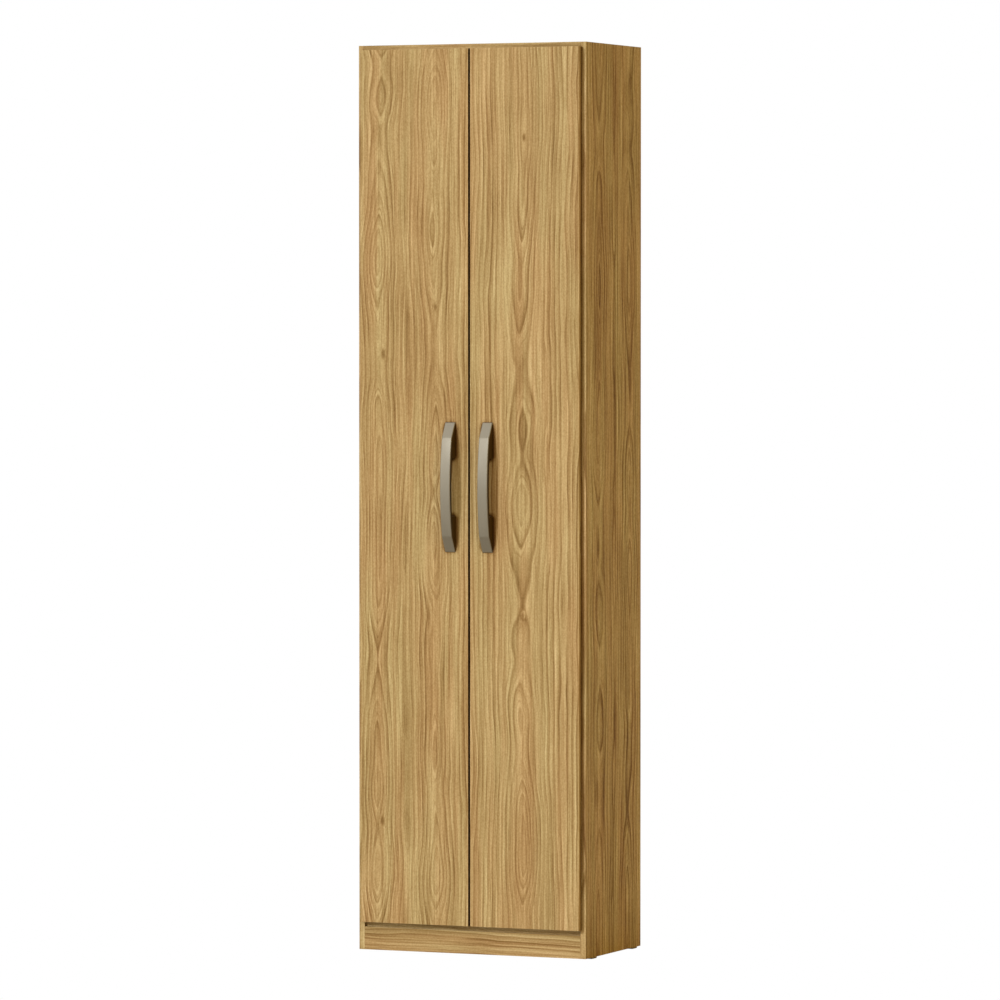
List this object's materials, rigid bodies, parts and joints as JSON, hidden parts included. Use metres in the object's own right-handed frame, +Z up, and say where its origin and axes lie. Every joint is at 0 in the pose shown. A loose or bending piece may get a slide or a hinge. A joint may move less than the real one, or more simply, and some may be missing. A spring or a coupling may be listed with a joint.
{
  "type": "broom cupboard",
  "caption": "Tall narrow wood-look cupboard with lay-on doors on concealed hinges, bow handles, a plinth, a broom bay and small shelves.",
  "frame": {"origin": "on the floor, under the middle of the whole cupboard", "axes": "+Z up, +X to the right seen from the front, doors facing -Y"},
  "size_m": [0.5, 0.334, 1.84],
  "materials": {
    "door_wood": "wood-look melamine, satin",
    "side_wood": "wood-look melamine, satin",
    "rail_wood": "wood-look melamine, satin",
    "back_sheet": "thin hardboard",
    "dowel_wood": "fluted beech",
    "handle_metal": "satin metal",
    "steel": "nickel plated",
    "zinc": "die cast",
    "clear_plastic": "moulded",
    "glide_plastic": "moulded"
  },
  "bodies": {
    "carcass": {"left_side_panel": "side_wood", "right_side_panel": "side_wood", "top_panel": "rail_wood", "bottom_panel": "rail_wood", "front_plinth": "rail_wood", "upper_shelf": "rail_wood", "centre_divider": "side_wood", "low_shelf": "rail_wood", "mid_shelf": "rail_wood", "high_shelf": "rail_wood", "upper_back_sheet": "back_sheet", "lower_back_sheet": "back_sheet", "cam_locks": "zinc", "cam_bolts": "steel", "dowels": "dowel_wood", "shelf_pins": "clear_plastic", "back_nails": "steel", "glide_nails": "steel", "front_left_glide": "glide_plastic", "rear_left_glide": "glide_plastic", "front_right_glide": "glide_plastic", "rear_right_glide": "glide_plastic", "plate_screws": "steel", "arm_screws": "steel", "arm_pins": "steel", "left_lower_mounting_plate": "steel", "left_lower_hinge_arm": "steel", "left_middle_mounting_plate": "steel", "left_middle_hinge_arm": "steel", "left_upper_mounting_plate": "steel", "left_upper_hinge_arm": "steel", "right_lower_mounting_plate": "steel", "right_lower_hinge_arm": "steel", "right_middle_mounting_plate": "steel", "right_middle_hinge_arm": "steel", "right_upper_mounting_plate": "steel", "right_upper_hinge_arm": "steel"},
    "left_outer_links": {"left_outer_links": "steel"},
    "left_door": {"left_door_panel": "door_wood", "left_handle": "handle_metal", "left_handle_screws": "steel", "left_cup_pins": "steel", "left_cup_screws": "steel", "left_lower_hinge_cup": "steel", "left_middle_hinge_cup": "steel", "left_upper_hinge_cup": "steel"},
    "left_inner_links": {"left_inner_links": "steel", "left_slide_pins": "steel"},
    "right_outer_links": {"right_outer_links": "steel"},
    "right_door": {"right_door_panel": "door_wood", "right_handle": "handle_metal", "right_handle_screws": "steel", "right_cup_pins": "steel", "right_cup_screws": "steel", "right_lower_hinge_cup": "steel", "right_middle_hinge_cup": "steel", "right_upper_hinge_cup": "steel"},
    "right_inner_links": {"right_inner_links": "steel", "right_slide_pins": "steel"}
  },
  "joints": [
    {"name": "left_link_swing", "type": "hinge", "parent": "carcass", "child": "left_outer_links", "pos_m": [-0.1973, -0.1045, 0.9], "axis": [0, 0, -1], "range_deg": [-31.5, 0]},
    {"name": "left_door_swing", "type": "hinge", "parent": "left_outer_links", "child": "left_door", "pos_m": [-0.2283, -0.1285, 0.9], "axis": [0, 0, -1], "range_deg": [0, 118.9]},
    {"name": "left_inner_swing", "type": "hinge", "parent": "left_door", "child": "left_inner_links", "pos_m": [-0.2236, -0.1299, 0.9], "axis": [0, 0, -1], "range_deg": [-119.9, 0]},
    {"name": "right_link_swing", "type": "hinge", "parent": "carcass", "child": "right_outer_links", "pos_m": [0.1973, -0.1045, 0.9], "axis": [0, 0, 1], "range_deg": [-31.5, 0]},
    {"name": "right_door_swing", "type": "hinge", "parent": "right_outer_links", "child": "right_door", "pos_m": [0.2283, -0.1285, 0.9], "axis": [0, 0, 1], "range_deg": [0, 118.9]},
    {"name": "right_inner_swing", "type": "hinge", "parent": "right_door", "child": "right_inner_links", "pos_m": [0.2236, -0.1299, 0.9], "axis": [0, 0, 1], "range_deg": [-119.9, 0]}
  ],
  "couplings": [
    {"joint": "left_link_swing", "follows": "left_door_swing", "ratio": -0.26},
    {"joint": "left_inner_swing", "follows": "left_door_swing", "ratio": -1},
    {"joint": "right_link_swing", "follows": "right_door_swing", "ratio": -0.26},
    {"joint": "right_inner_swing", "follows": "right_door_swing", "ratio": -1}
  ]
}
